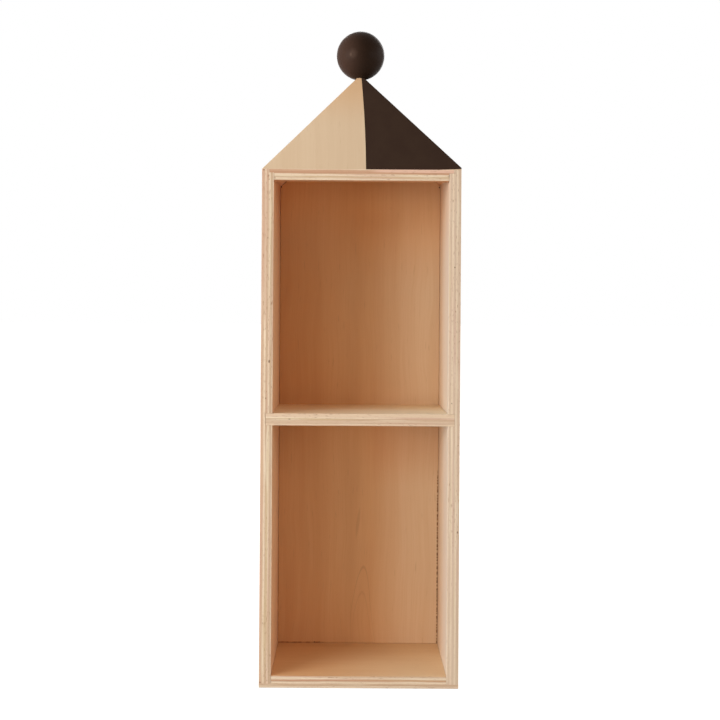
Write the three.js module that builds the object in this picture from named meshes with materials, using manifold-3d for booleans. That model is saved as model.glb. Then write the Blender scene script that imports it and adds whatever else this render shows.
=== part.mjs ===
// Circus-shaped wall shelf for a child's room: a narrow open box of birch plywood with a middle shelf,
// a pointed roof whose gable is half bare and half painted, and a dark wooden ball on its tip.
// Millimetres. X points right, Y back to the wall and Z up. The origin is the middle of the underside.
import * as THREE from "three";
import { mergeVertices } from "three/addons/utils/BufferGeometryUtils.js";
import Module from "manifold-3d";

const wasm = await Module();
wasm.setup();

// Box
const width = 200; // over the outer faces of the side panels
const depth = 110; // from the front edges to the wall
const eavesHeight = 520; // from the underside to the corners where the roof starts
const plywood = 12; // thickness of every board except the back panel
const glueLine = 0.2; // clearance in a glued joint

// Bottom board
const floorTongue = 4.2; // its lower plies, which run out under the side panels

// Middle shelf
const shelfHeight = 262.5; // from the underside of the object to the underside of the shelf
const dadoDepth = 7; // how far each end is let into a side panel

// Back panel
const backThickness = 5;
const backGap = 0.4; // the shadow line along the side panels and under the roof

// Front rail
const railTongue = 3.6; // its upper plies, which rest in a notch of each side panel
const railLip = 4.6; // how far they reach into the side panel

// Roof and gable
const roofRise = 94.8; // from the left eaves to where the two slopes would meet
const rightEavesLift = 2.2; // the right slope ends a little higher, over a short upright edge
const ridgeOffset = -1.8; // the ridge stands a little left of the middle
const ridgeDrop = 3.4; // what is planed off the sharp ridge, which leaves a flat seat for the ball
const paintLineBase = 4.2; // where the line between bare wood and paint meets the rail
const paintLineTip = -0.9; // and where it meets the planed tip
const paintLineBulge = 1; // how far the line bows out between them
const paintLineSteps = 8;

// Ball finial
const ballDiameter = 48;
const ballSeatRadius = 5; // the flat under the ball that rests on the tip
const studDiameter = 4;
const studInBall = 18; // how deep the steel stud reaches into the ball
const studInGable = 22; // and into the gable
const boreClearance = 0.15; // between a stud or screw and the wall of its hole
const boreEndGap = 0.3; // between its end and the bottom of the hole
const ballSteps = 30; // facets from the seat to the top of the ball
const ballSides = 64;

// Keyhole hangers, let in flush at the rear edges of the side panels
const hangerDrop = 50; // from the eaves down to the middle of the plate
const hangerWidth = 10;
const hangerLength = 50;
const hangerThickness = 1.5;
const hangerFit = 0.15; // clearance of the plate in its recess
const entryDiameter = 8; // the round hole that the wall screw's head goes through
const slotWidth = 4.6; // the slot that the wall screw's shank slides up
const slotRise = 10; // from the middle of the entry to the round end of the slot
const pocketWidth = 8.8; // room behind the plate for the wall screw's head
const pocketLength = 24;
const pocketDepth = 6;

// Screws that hold the hangers
const screwSpacing = 38;
const screwDiameter = 3;
const screwHeadDiameter = 5.6;
const screwHeadHeight = 1.3;
const screwLength = 16;
const screwTipLength = 3;
const screwTipDiameter = 0.8;

// Facets and overruns
const arcSegments = 12; // in each half circle of an outline
const roundSides = 24; // around a hole, a stud or a screw
const cutOverrun = 1; // how far a cutter runs past the surface that it opens
const mergeDistance = 1e-4; // corners closer than this are one corner

// Places worked out from the sizes
const halfWidth = width / 2;
const halfInside = halfWidth - plywood;
const front = -depth / 2;
const rear = depth / 2;
const backFront = rear - backThickness;
const gableBack = front + plywood;
const apexHeight = eavesHeight + roofRise;
const tipHeight = apexHeight - ridgeDrop;
const railTop = eavesHeight;
const railUnderside = railTop - plywood;
const railLap = railTop - railTongue;
const plateFront = rear - hangerThickness;
const hangerHeight = eavesHeight - hangerDrop;
const leftAndRight = [
  ["left", -1],
  ["right", 1],
];

const materials = {
  birch: new THREE.MeshStandardMaterial({ color: "#d8ba98", roughness: 0.65 }),
  backVeneer: new THREE.MeshStandardMaterial({ color: "#cfa682", roughness: 0.6 }),
  darkPaint: new THREE.MeshStandardMaterial({ color: "#3a2c24", roughness: 0.8 }),
  darkStain: new THREE.MeshStandardMaterial({ color: "#3b2c24", roughness: 0.55 }),
  steel: new THREE.MeshStandardMaterial({ color: "#b8babc", roughness: 0.35, metalness: 1 }),
};

// A closed mesh as a solid: only its positions are kept, and corners that coincide become one.
function toSolid(geometry) {
  const bare = geometry.clone();
  bare.deleteAttribute("normal");
  bare.deleteAttribute("uv");
  const merged = mergeVertices(bare, mergeDistance);
  return new wasm.Manifold(
    new wasm.Mesh({
      numProp: 3,
      vertProperties: merged.attributes.position.array,
      triVerts: new Uint32Array(merged.index.array),
    }),
  );
}

// A solid as a flat-shaded mesh, with one group for each of the solids that it was joined from.
function toGeometry(solid) {
  const mesh = solid.getMesh();
  const geometry = new THREE.BufferGeometry();
  geometry.setAttribute("position", new THREE.BufferAttribute(mesh.vertProperties, 3));
  geometry.setIndex(new THREE.BufferAttribute(mesh.triVerts, 1));
  const flat = geometry.toNonIndexed();
  flat.computeVertexNormals();
  return { flat, mesh };
}

function cut(geometry, ...cutters) {
  const solid = cutters.reduce((left, cutter) => left.subtract(toSolid(cutter)), toSolid(geometry));
  return toGeometry(solid).flat;
}

function outline(points) {
  return new THREE.Shape(points.map(([x, z]) => new THREE.Vector2(x, z)));
}

// A shape drawn in the front view, as X and Z, carried from one depth to another. Its two ends get
// exactly the depths asked for, so that they meet their neighbours with no crack.
function prism(shape, yFront, yBack) {
  const geometry = new THREE.ExtrudeGeometry(shape, {
    depth: yBack - yFront,
    bevelEnabled: false,
    curveSegments: arcSegments,
  });
  const corners = geometry.attributes.position;
  for (let index = 0; index < corners.count; index++) {
    const y = corners.getZ(index) > 0 ? yFront : yBack;
    corners.setXYZ(index, corners.getX(index), y, corners.getY(index));
  }
  geometry.computeVertexNormals();
  return geometry;
}

function block(xFrom, xTo, zFrom, zTo, yFront, yBack) {
  const left = Math.min(xFrom, xTo);
  const right = Math.max(xFrom, xTo);
  const corners = [
    [left, zFrom],
    [right, zFrom],
    [right, zTo],
    [left, zTo],
  ];
  return prism(outline(corners), yFront, yBack);
}

// A turned piece or hole whose axis runs from the rear to the front: points are radius and depth.
function turned(points, x, z, sides = roundSides) {
  const profile = points.map(([radius, y]) => new THREE.Vector2(radius, y));
  const geometry = new THREE.LatheGeometry(profile, sides);
  geometry.translate(x, 0, z);
  return geometry;
}

function named(name, geometry, material) {
  const mesh = new THREE.Mesh(geometry, material);
  mesh.name = name;
  return mesh;
}

// The height at which the slope on one side meets the outer face.
function eavesOn(side) {
  return eavesHeight + (side > 0 ? rightEavesLift : 0);
}

// That slope, followed at a distance below its outer face: its height over a place x.
function slopeHeight(side, x, below = 0) {
  const run = halfWidth - side * ridgeOffset;
  const pitch = Math.atan2(apexHeight - eavesOn(side), run);
  return eavesOn(side) + (halfWidth - side * x) * Math.tan(pitch) - below / Math.cos(pitch);
}

// Where that slope reaches a height, such as the planed ridge.
function slopeReach(side, height) {
  const run = halfWidth - side * ridgeOffset;
  const share = (height - eavesOn(side)) / (apexHeight - eavesOn(side));
  return side * (halfWidth - run * share);
}

// Bottom board: its lower plies carry the side panels, and the rest stands between them.
function bottomBoard() {
  const shoulder = halfInside - glueLine;
  const shape = outline([
    [-halfWidth, 0],
    [halfWidth, 0],
    [halfWidth, floorTongue],
    [shoulder, floorTongue],
    [shoulder, plywood],
    [-shoulder, plywood],
    [-shoulder, floorTongue],
    [-halfWidth, floorTongue],
  ]);
  return prism(shape, front, rear);
}

// Front rail: it stands between the side panels, and its upper plies lie in their notches.
function frontRail() {
  const shoulder = halfInside - glueLine;
  const lipEnd = halfInside + railLip - glueLine;
  const shape = outline([
    [-shoulder, railUnderside],
    [shoulder, railUnderside],
    [shoulder, railLap],
    [lipEnd, railLap],
    [lipEnd, railTop],
    [-lipEnd, railTop],
    [-lipEnd, railLap],
    [-shoulder, railLap],
  ]);
  return prism(shape, front, gableBack);
}

function middleShelf() {
  const end = halfInside + dadoDepth - glueLine;
  return block(-end, end, shelfHeight, shelfHeight + plywood, front, backFront - glueLine);
}

// The recess, the pocket behind it and the pilot holes that a side panel has for its hanger.
function hangerCutters(x) {
  const recessFront = plateFront - boreClearance;
  const pilotRadius = screwDiameter / 2 + boreClearance;
  const pilotEnd = rear - screwLength - boreEndGap;
  const recess = prism(
    stadium(x, hangerHeight, hangerWidth + 2 * hangerFit, hangerLength + 2 * hangerFit),
    recessFront,
    rear + cutOverrun,
  );
  const pocket = prism(
    stadium(x, hangerHeight, pocketWidth, pocketLength),
    plateFront - pocketDepth,
    recessFront + cutOverrun,
  );
  const pilots = screwHeights().map((z) =>
    turned(
      [
        [0, pilotEnd],
        [pilotRadius, pilotEnd],
        [pilotRadius, recessFront + cutOverrun],
        [0, recessFront + cutOverrun],
      ],
      x,
      z,
    ),
  );
  return [recess, pocket, ...pilots];
}

function screwHeights() {
  return [hangerHeight - screwSpacing / 2, hangerHeight + screwSpacing / 2];
}

// An upright slot shape with round ends, centred on a place in the front view.
function stadium(x, z, across, along) {
  const radius = across / 2;
  const straight = along / 2 - radius;
  const shape = new THREE.Shape();
  shape.absarc(x, z + straight, radius, 0, Math.PI, false);
  shape.absarc(x, z - straight, radius, Math.PI, 2 * Math.PI, false);
  return shape;
}

// Side panel: notched for the rail in front, where it carries the gable, and mitred to the roof board behind.
function sidePanel(side) {
  const outer = side * halfWidth;
  const inner = side * halfInside;
  const mitre = outline([
    [outer, floorTongue],
    [inner, floorTongue],
    [inner, slopeHeight(side, inner, plywood)],
    [outer, eavesOn(side)],
  ]);
  const notched = outline([
    [outer, floorTongue],
    [inner, floorTongue],
    [inner, railLap],
    [inner + side * railLip, railLap],
    [inner + side * railLip, railTop],
    [outer, railTop],
  ]);
  const behindRail = toSolid(prism(mitre, gableBack, rear));
  const besideRail = toSolid(prism(notched, front, gableBack));
  const dado = block(
    inner - side * cutOverrun,
    inner + side * dadoDepth,
    shelfHeight,
    shelfHeight + plywood + glueLine,
    front - cutOverrun,
    backFront,
  );
  const panel = toGeometry(behindRail.add(besideRail)).flat;
  return cut(panel, dado, ...hangerCutters(side * (halfInside + plywood / 2)));
}

// Roof board: mitred on the side panel below and cut plumb at the ridge, which is planed flat.
function roofBoard(side) {
  const ridgeFace = ridgeOffset + (side * glueLine) / 2;
  const inner = side * halfInside;
  const shape = outline([
    [side * halfWidth, eavesOn(side) + glueLine],
    [slopeReach(side, tipHeight), tipHeight],
    [ridgeFace, tipHeight],
    [ridgeFace, slopeHeight(side, ridgeFace, plywood)],
    [inner, slopeHeight(side, inner, plywood) + glueLine],
  ]);
  return prism(shape, gableBack + glueLine, rear);
}

// Back panel: one house-shaped sheet inside the side panels and the roof, standing on the bottom board.
function backPanel() {
  const edge = halfInside - backGap;
  const below = plywood + backGap;
  const peak = Math.min(slopeHeight(-1, ridgeOffset, below), slopeHeight(1, ridgeOffset, below));
  const shape = outline([
    [-edge, plywood],
    [edge, plywood],
    [edge, slopeHeight(1, edge, below)],
    [ridgeOffset, peak],
    [-edge, slopeHeight(-1, -edge, below)],
  ]);
  return prism(shape, backFront, rear);
}

// Points of the line that parts bare wood from paint, from the rail up to the tip.
function paintLine() {
  const middle = (paintLineBase + paintLineTip) / 2;
  const curve = new THREE.QuadraticBezierCurve(
    new THREE.Vector2(paintLineBase, railTop),
    new THREE.Vector2(middle + 2 * paintLineBulge, (railTop + tipHeight) / 2),
    new THREE.Vector2(paintLineTip, tipHeight),
  );
  return curve.getPoints(paintLineSteps).map(({ x, y }) => [x, y]);
}

// Gable: one board on the rail and the side panels. Its bare half and its painted half keep a material each.
function gableBoard() {
  const line = paintLine();
  const bareOutline = outline([
    [-halfWidth, railTop],
    ...line,
    [slopeReach(-1, tipHeight), tipHeight],
  ]);
  const paintedOutline = outline([
    [halfWidth, railTop],
    [halfWidth, eavesOn(1)],
    [slopeReach(1, tipHeight), tipHeight],
    ...line.toReversed(),
  ]);
  const bare = toSolid(prism(bareOutline, front, gableBack));
  const painted = toSolid(prism(paintedOutline, front, gableBack)).asOriginal();
  const paintedID = painted.originalID();
  const bore = toSolid(upright(studBore(tipHeight - studInGable - boreEndGap, tipHeight + cutOverrun)));
  const { flat, mesh } = toGeometry(bare.add(painted).subtract(bore));
  for (let run = 0; run + 1 < mesh.runIndex.length; run++) {
    const start = mesh.runIndex[run];
    const finish = mesh.runOriginalID[run] === paintedID ? 1 : 0;
    flat.addGroup(start, mesh.runIndex[run + 1] - start, finish);
  }
  return flat;
}

// Stands a turned piece upright on the tip of the gable: its depth axis becomes the height axis.
function upright(geometry) {
  geometry.rotateX(Math.PI / 2);
  geometry.translate(ridgeOffset, front + plywood / 2, 0);
  return geometry;
}

function studBore(from, to) {
  const radius = studDiameter / 2 + boreClearance;
  return turned([[0, from], [radius, from], [radius, to], [0, to]], 0, 0);
}

function finialStud() {
  const radius = studDiameter / 2;
  const from = tipHeight - studInGable;
  const to = tipHeight + studInBall;
  return upright(turned([[0, from], [radius, from], [radius, to], [0, to]], 0, 0));
}

// Ball: turned round, with a flat seat below and a blind hole for the stud.
function finialBall() {
  const radius = ballDiameter / 2;
  const seatAngle = Math.asin(ballSeatRadius / radius);
  const centre = tipHeight + radius * Math.cos(seatAngle);
  const boreRadius = studDiameter / 2 + boreClearance;
  const boreTop = tipHeight + studInBall + boreEndGap;
  const points = [
    [0, boreTop],
    [boreRadius, boreTop],
    [boreRadius, tipHeight],
  ];
  for (let step = 0; step <= ballSteps; step++) {
    const angle = seatAngle + ((Math.PI - seatAngle) * step) / ballSteps;
    const onAxis = step === ballSteps;
    points.push([onAxis ? 0 : radius * Math.sin(angle), centre - radius * Math.cos(angle)]);
  }
  return upright(turned(points, 0, 0, ballSides));
}

// Hanger plate, flush with the rear edge: a keyhole between two countersunk screw holes.
function hangerPlate(x) {
  const entryHeight = hangerHeight - slotRise / 2;
  const slotEnd = hangerHeight + slotRise / 2;
  const entryRadius = entryDiameter / 2;
  const slotRadius = slotWidth / 2;
  const neck = Math.asin(slotRadius / entryRadius);
  const keyhole = new THREE.Path();
  keyhole.absarc(x, slotEnd, slotRadius, 0, Math.PI, false);
  keyhole.absarc(x, entryHeight, entryRadius, Math.PI / 2 + neck, (5 * Math.PI) / 2 - neck, false);
  const shape = stadium(x, hangerHeight, hangerWidth, hangerLength);
  shape.holes.push(keyhole);
  const throughRadius = screwDiameter / 2 + boreClearance;
  const mouthRadius = screwHeadDiameter / 2 + boreClearance;
  const holes = screwHeights().map((z) =>
    turned(
      [
        [0, plateFront - cutOverrun],
        [throughRadius, plateFront - cutOverrun],
        [throughRadius, rear - screwHeadHeight],
        [mouthRadius, rear],
        [mouthRadius, rear + cutOverrun],
        [0, rear + cutOverrun],
      ],
      x,
      z,
    ),
  );
  return cut(prism(shape, plateFront, rear), ...holes);
}

// Countersunk wood screw, driven from the rear.
function hangerScrew(x, z) {
  const tip = rear - screwLength;
  const points = [
    [0, tip],
    [screwTipDiameter / 2, tip],
    [screwDiameter / 2, tip + screwTipLength],
    [screwDiameter / 2, rear - screwHeadHeight],
    [screwHeadDiameter / 2, rear],
    [0, rear],
  ];
  return turned(points, x, z);
}

const box = new THREE.Group();
box.add(
  named("bottom_board", bottomBoard(), materials.birch),
  named("middle_shelf", middleShelf(), materials.birch),
  named("front_rail", frontRail(), materials.birch),
  named("back_panel", backPanel(), materials.backVeneer),
);

const roof = new THREE.Group();
roof.add(
  named("gable_board", gableBoard(), [materials.birch, materials.darkPaint]),
  named("finial_stud", finialStud(), materials.steel),
  named("finial_ball", finialBall(), materials.darkStain),
);

const hangers = new THREE.Group();
for (const [word, side] of leftAndRight) {
  const edge = side * (halfInside + plywood / 2);
  box.add(named(`side_${word}`, sidePanel(side), materials.birch));
  roof.add(named(`roof_board_${word}`, roofBoard(side), materials.birch));
  hangers.add(named(`hanger_${word}`, hangerPlate(edge), materials.steel));
  screwHeights().forEach((z, index) => {
    const place = index === 0 ? "lower" : "upper";
    hangers.add(named(`hanger_screw_${word}_${place}`, hangerScrew(edge, z), materials.steel));
  });
}

const shelf = new THREE.Group();
shelf.add(box, roof, hangers);

export default shelf;
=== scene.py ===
# %% [markdown]
# A circus-shaped wall shelf
#
# This lesson dresses a small wall shelf for a child's room. The real one is a narrow box of birch plywood
# with a middle shelf, a pointed roof and a dark wooden ball on its tip. The measured model of the shelf is
# loaded first and stays as it is. Every board is then modelled again over it, with eased edges and with the
# plies and the grain that a plain solid lacks. All lengths are metres. X points right, Y back to the wall
# and Z up.

# %% Load the fixed frame
import math
from collections import namedtuple

import bmesh
import bpy
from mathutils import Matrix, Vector


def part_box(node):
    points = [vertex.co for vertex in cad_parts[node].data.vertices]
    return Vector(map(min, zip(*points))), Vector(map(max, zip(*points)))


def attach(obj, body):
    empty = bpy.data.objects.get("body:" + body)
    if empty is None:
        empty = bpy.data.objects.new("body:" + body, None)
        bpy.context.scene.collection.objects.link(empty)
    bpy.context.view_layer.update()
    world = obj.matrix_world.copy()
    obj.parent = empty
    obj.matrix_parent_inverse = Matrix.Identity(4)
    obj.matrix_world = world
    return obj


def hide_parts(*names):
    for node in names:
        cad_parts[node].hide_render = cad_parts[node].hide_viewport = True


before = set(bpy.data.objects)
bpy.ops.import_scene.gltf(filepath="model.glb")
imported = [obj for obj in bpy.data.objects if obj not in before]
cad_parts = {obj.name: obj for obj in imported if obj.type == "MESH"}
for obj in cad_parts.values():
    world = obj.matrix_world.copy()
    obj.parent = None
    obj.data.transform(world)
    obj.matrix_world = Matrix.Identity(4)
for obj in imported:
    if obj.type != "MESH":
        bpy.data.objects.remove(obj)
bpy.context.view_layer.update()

MM = 0.001

# %% [markdown]
# The camera
#
# A shelf photographed from the front shows its depth only through perspective, so the distance matters more
# than the lens. The back of the box looks a tenth smaller than its front, and from that the camera stands
# about a metre away, a little above the middle of the shelf. It is level, so upright edges stay upright,
# and it leans by a third of a degree. The picture was cropped off centre, which is what lens shift is for.

# %% Camera
LENS = 52.0
SENSOR_WIDTH = 36.0
PHOTO_SIDE_PX = 720
SHIFT_RIGHT_PX = 12.6
SHIFT_DOWN_PX = 47.5
CAMERA_PLACE = (-13.5 * MM, -1097 * MM, 376.5 * MM)
CAMERA_LEAN = -0.366

camera_data = bpy.data.cameras.new("Camera")
camera_data.lens = LENS
camera_data.sensor_width = SENSOR_WIDTH
camera_data.shift_x = SHIFT_RIGHT_PX / PHOTO_SIDE_PX
camera_data.shift_y = -SHIFT_DOWN_PX / PHOTO_SIDE_PX
camera = bpy.data.objects.new("Camera", camera_data)
camera.location = CAMERA_PLACE
camera.rotation_euler = (math.radians(90), math.radians(CAMERA_LEAN), 0)
bpy.context.scene.collection.objects.link(camera)
bpy.context.scene.camera = camera
front_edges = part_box("side_left")[0].y
print("camera distance from the front edges, mm:", round((front_edges - camera.location.y) / MM))

# %% [markdown]
# Light
#
# A broad soft light stands on the left, like a window, with a smaller one beside it a little lower. They
# enter the open box at a slant, so the left side keeps the back panel in shade and the right side catches
# the light. A weak one on the left behind the camera and a broad one on the right soften the shade. The fill
# lights stand behind the plane of the front edges. They brighten the outside of the shelf, but none of their
# light reaches into the box, where it would wash the shade away. The wood inside colours what light there
# is, which makes the shade warm. Only the three lamps in front on the left have a tint, a very slight one of
# daylight.

# %% Lights
SHELF_MIDDLE = Vector((0, 0, 0.33))
DAYLIGHT = (0.97, 0.99, 1.0)
WHITE = (1, 1, 1)

# Name, place in metres, side of the square in metres, power in watts and tint.
LAMPS = (
    ("window", (-1.79, -1.3, 0.66), 1.2, 29, DAYLIGHT),
    ("window_low", (-2.0, -0.94, 0.37), 0.72, 13.5, DAYLIGHT),
    ("front", (-1.26, -1.85, 0.37), 0.72, 5.5, DAYLIGHT),
    ("right", (1.9, -1.15, 0.62), 1.2, 14, WHITE),
    ("fill_right", (1.9, 0.25, 0.9), 1.2, 11, WHITE),
    ("fill_left", (-1.9, 0.35, 0.9), 1.2, 4, WHITE),
    ("fill_back", (0.3, 2.0, 1.2), 1.6, 28, WHITE),
)


def add_light(name, stand, size, power, tint):
    """Hangs a square soft light at its stand and turns it to the middle of the shelf."""
    light = bpy.data.lights.new(name, "AREA")
    light.shape = "SQUARE"
    light.size = size
    light.energy = power
    light.color = tint
    lamp = bpy.data.objects.new(name, light)
    lamp.location = stand
    lamp.rotation_mode = "QUATERNION"
    lamp.rotation_quaternion = (SHELF_MIDDLE - Vector(stand)).to_track_quat("-Z", "Y")
    bpy.context.scene.collection.objects.link(lamp)


for lamp_line in LAMPS:
    add_light(*lamp_line)
bpy.context.scene.view_settings.view_transform = "Standard"
print("lamps:", len(LAMPS))

# %% [markdown]
# Background
#
# The photograph has a plain white ground. The world gives a little warm light, but a ray that comes straight
# from the camera, or through a reflection, finds white there. The floor does the same and adds a share of
# real diffuse light, so that the shelf keeps a faint shadow under it. Away from the shelf it glows at full
# white, so that no horizon shows.

# %% White world
WORLD_TINT = (1, 0.87, 0.74, 1)
WORLD_STRENGTH = 0.34


def seen_directly(nodes, links):
    """1 for rays from the camera, a mirror or glass, and 0 for rays that carry light to a surface."""
    path = nodes.new("ShaderNodeLightPath")
    total = None
    for ray in ("Is Camera Ray", "Is Glossy Ray", "Is Transmission Ray"):
        if total is None:
            total = path.outputs[ray]
            continue
        join = nodes.new("ShaderNodeMath")
        join.operation = "MAXIMUM"
        links.new(total, join.inputs[0])
        links.new(path.outputs[ray], join.inputs[1])
        total = join.outputs[0]
    return total


def add_world():
    """A world that gives a little warm light, and is white where a ray sees it directly."""
    world = bpy.data.worlds.new("studio")
    world.use_nodes = True
    nodes = world.node_tree.nodes
    links = world.node_tree.links
    light = nodes["Background"]
    light.inputs["Color"].default_value = WORLD_TINT
    light.inputs["Strength"].default_value = WORLD_STRENGTH
    seen = nodes.new("ShaderNodeBackground")
    seen.inputs["Color"].default_value = (*WHITE, 1)
    seen.inputs["Strength"].default_value = 1.0
    mix = nodes.new("ShaderNodeMixShader")
    links.new(seen_directly(nodes, links), mix.inputs[0])
    links.new(light.outputs[0], mix.inputs[1])
    links.new(seen.outputs[0], mix.inputs[2])
    links.new(mix.outputs[0], nodes["World Output"].inputs["Surface"])
    bpy.context.scene.world = world
    return world


print("world:", add_world().name)

# %% Floor
FLOOR_SIDE = 60
FLOOR_DROP = 0.4 * MM
FLOOR_GREY = (0.45, 0.45, 0.45, 1)
SHADOW_GREY = (0.32, 0.32, 0.32, 1)
NEAR_SHELF, AWAY = 0.2, 0.7
GLOW_NEAR, GLOW_AWAY = 0.9, 1.0


def add_floor():
    """A pale floor that looks white, with room in its tone for the shelf's shadow."""
    bpy.ops.object.select_all(action="DESELECT")
    bpy.ops.mesh.primitive_plane_add(size=FLOOR_SIDE, location=(0, 0, -FLOOR_DROP))
    bpy.ops.object.transform_apply(location=True, rotation=True, scale=True)
    floor = bpy.context.object
    floor.name = "floor"
    material = bpy.data.materials.new("pale_floor")
    material.use_nodes = True
    nodes = material.node_tree.nodes
    links = material.node_tree.links
    nodes.clear()
    paint = nodes.new("ShaderNodeBsdfDiffuse")
    paint.inputs["Color"].default_value = FLOOR_GREY
    faint = nodes.new("ShaderNodeBsdfDiffuse")
    faint.inputs["Color"].default_value = SHADOW_GREY
    spot = nodes.new("ShaderNodeTexCoord")
    distance = nodes.new("ShaderNodeVectorMath")
    distance.operation = "LENGTH"
    fade = nodes.new("ShaderNodeMapRange")
    for socket, number in zip(list(fade.inputs)[1:5], (NEAR_SHELF, AWAY, GLOW_NEAR, GLOW_AWAY)):
        socket.default_value = number
    glow = nodes.new("ShaderNodeEmission")
    links.new(spot.outputs["Object"], distance.inputs[0])
    links.new(distance.outputs["Value"], fade.inputs["Value"])
    links.new(fade.outputs[0], glow.inputs["Strength"])
    lit = nodes.new("ShaderNodeAddShader")
    mix = nodes.new("ShaderNodeMixShader")
    output = nodes.new("ShaderNodeOutputMaterial")
    links.new(faint.outputs[0], lit.inputs[0])
    links.new(glow.outputs[0], lit.inputs[1])
    links.new(seen_directly(nodes, links), mix.inputs[0])
    links.new(paint.outputs[0], mix.inputs[1])
    links.new(lit.outputs[0], mix.inputs[2])
    links.new(mix.outputs[0], output.inputs["Surface"])
    floor.data.materials.append(material)
    return floor


print("floor:", add_floor().name)

# %% [markdown]
# Sizes
#
# The boards stand where the measured model has them, so their sizes are read from its boxes wherever a box
# can say them. The roof needs three more numbers: how far the ridge stands from the middle, how high the two
# slopes would meet before the ridge is planed flat, and how much higher the right slope ends than the left.
# The last two numbers are those of the notch in which the rail's upper plies lie. The middle shelf and its
# dadoes lie nearly half a millimetre higher than in the model, as they do on the real one.

# %% Sizes read from the frame
SHELF_LIFT = 0.45 * MM
side_low, side_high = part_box("side_right")
rail_low, rail_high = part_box("front_rail")
floor_low, floor_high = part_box("bottom_board")
shelf_low, shelf_high = (corner + Vector((0, 0, SHELF_LIFT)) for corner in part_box("middle_shelf"))
back_low, back_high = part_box("back_panel")
gable_low, gable_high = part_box("gable_board")
ball_low, ball_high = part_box("finial_ball")

PLY = side_high.x - side_low.x
HALF_WIDTH = side_high.x
HALF_INSIDE = side_low.x
FRONT = side_low.y
REAR = side_high.y
EAVES = rail_high.z
TIP = gable_high.z
GLUE = 0.2 * MM
RIDGE_X = -1.8 * MM
APEX = 614.8 * MM
RIGHT_LIFT = 2.2 * MM
RAIL_TONGUE = 3.6 * MM
RAIL_LIP = 4.6 * MM
print("plywood, mm:", round(PLY / MM, 2), " eaves:", round(EAVES / MM, 1), " tip:", round(TIP / MM, 1))


def eaves_on(side):
    """The height at which the slope on one side meets the outer face."""
    return EAVES + (RIGHT_LIFT if side > 0 else 0)


def slope_pitch(side):
    """The angle at which the slope on one side rises."""
    return math.atan2(APEX - eaves_on(side), HALF_WIDTH - side * RIDGE_X)


def slope_height(side, x, below=0.0):
    """Height of the roof over a place x, followed at a distance below its outer face."""
    pitch = slope_pitch(side)
    return eaves_on(side) + (HALF_WIDTH - side * x) * math.tan(pitch) - below / math.cos(pitch)


def slope_reach(side, height):
    """Where the slope on one side reaches a height."""
    run = HALF_WIDTH - side * RIDGE_X
    return side * (HALF_WIDTH - (height - eaves_on(side)) * run / (APEX - eaves_on(side)))


# %% [markdown]
# Tools for the bench
#
# Every board starts as a block of its own size. The calls below are the few hand moves that shape it: pick
# faces, edges or corners by where they are, saw along a plane, ease the sharp edges, and join or cut with
# another block. An operator acts on all that is selected, so each call first selects what it needs and
# nothing else. A face or an edge counts as turned to a side when nine tenths of its direction points there.

# %% Block
TOUCH = 0.05 * MM
MERGE = 0.01 * MM
FACING = 0.9
BOARD_EASE = 0.35 * MM
PAST = 1 * MM


def near(value, wanted):
    """Says whether two places are the same, but for a hair."""
    return abs(value - wanted) < TOUCH


def only(piece):
    """Makes a piece the only selected one."""
    bpy.ops.object.select_all(action="DESELECT")
    piece.select_set(True)
    bpy.context.view_layer.objects.active = piece


def settle(name):
    """Writes the place of the piece that was just made into its mesh, and names it."""
    bpy.ops.object.transform_apply(location=True, rotation=True, scale=True)
    piece = bpy.context.object
    piece.name = name
    piece.data.name = name
    return piece


def add_block(name, low, high):
    """Adds a cube that reaches from one corner to the other."""
    low, high = Vector(low), Vector(high)
    bpy.ops.object.select_all(action="DESELECT")
    bpy.ops.mesh.primitive_cube_add(size=1, location=(low + high) / 2, scale=high - low)
    return settle(name)


# %% Pick by place
def edit(piece, kind="FACE"):
    """Opens a piece in edit mode with nothing selected."""
    only(piece)
    bpy.ops.object.mode_set(mode="EDIT")
    bpy.ops.mesh.select_mode(type=kind)
    bpy.ops.mesh.select_all(action="DESELECT")


def pick(piece, kind, test):
    """Selects what passes a test of its middle and its direction, and hands back how many that were."""
    bpy.ops.mesh.select_mode(type=kind)
    bpy.ops.mesh.select_all(action="DESELECT")
    mesh = bmesh.from_edit_mesh(piece.data)
    mesh.normal_update()
    if kind == "FACE":
        found = [face for face in mesh.faces if test(face.calc_center_median(), face.normal)]
    elif kind == "EDGE":
        found = []
        for edge in mesh.edges:
            start, end = edge.verts[0].co, edge.verts[1].co
            if test((start + end) / 2, (end - start).normalized()):
                found.append(edge)
    else:
        found = [corner for corner in mesh.verts if test(corner.co, corner.normal)]
    for part in found:
        part.select_set(True)
    mesh.select_flush_mode()
    bmesh.update_edit_mesh(piece.data)
    return len(found)


def leave():
    """Goes back to object mode."""
    bpy.ops.object.mode_set(mode="OBJECT")


# %% Saw, ease, join
def saw(spot, normal, plane_off=False):
    """In edit mode, cuts along a plane. Plane_off also removes what lies beyond, and closes the cut."""
    bpy.ops.mesh.select_all(action="SELECT")
    bpy.ops.mesh.bisect(plane_co=spot, plane_no=normal, use_fill=plane_off, clear_outer=plane_off)


def merge_corners():
    """In edit mode, makes one corner of those that lie on each other."""
    bpy.ops.mesh.select_all(action="SELECT")
    bpy.ops.mesh.remove_doubles(threshold=MERGE)


def ease(piece, width, test, steps=3):
    """Rounds the sharp edges that pass a test, as a sanding block does."""
    edit(piece, "EDGE")
    count = pick(piece, "EDGE", test)
    bpy.ops.mesh.bevel(offset=width, segments=steps, profile=0.5, affect="EDGES", clamp_overlap=True)
    leave()
    print(piece.name, "edges eased:", count)


def combine(piece, other, operation):
    """Joins or cuts one closed block with another, and throws the second away."""
    only(piece)
    step = piece.modifiers.new("step", "BOOLEAN")
    step.operation = operation
    step.solver = "EXACT"
    step.object = other
    bpy.ops.object.modifier_apply(modifier="step")
    bpy.data.objects.remove(other)


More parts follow.
